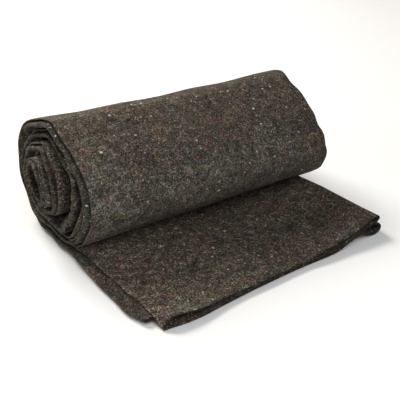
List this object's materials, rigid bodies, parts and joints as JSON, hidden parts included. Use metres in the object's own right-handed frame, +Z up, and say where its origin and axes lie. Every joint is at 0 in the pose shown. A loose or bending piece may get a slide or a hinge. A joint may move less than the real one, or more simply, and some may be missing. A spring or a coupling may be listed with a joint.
{
  "type": "rolled wool fire blanket",
  "caption": "Felted wool fire blanket, folded lengthwise into a layered strip and rolled up, with the end of the strip lying flat in front.",
  "frame": {"origin": "on the floor under the roll, at the middle of the folded strip's width", "axes": "+X along the roll to the right, -Y towards the loose end in front, +Z up"},
  "size_m": [0.4337, 0.3735, 0.1893],
  "materials": {
    "wool": "felted grey-brown wool with coloured flecks, matt and fuzzy"
  },
  "bodies": {
    "root": {"blanket": "wool"}
  },
  "joints": []
}
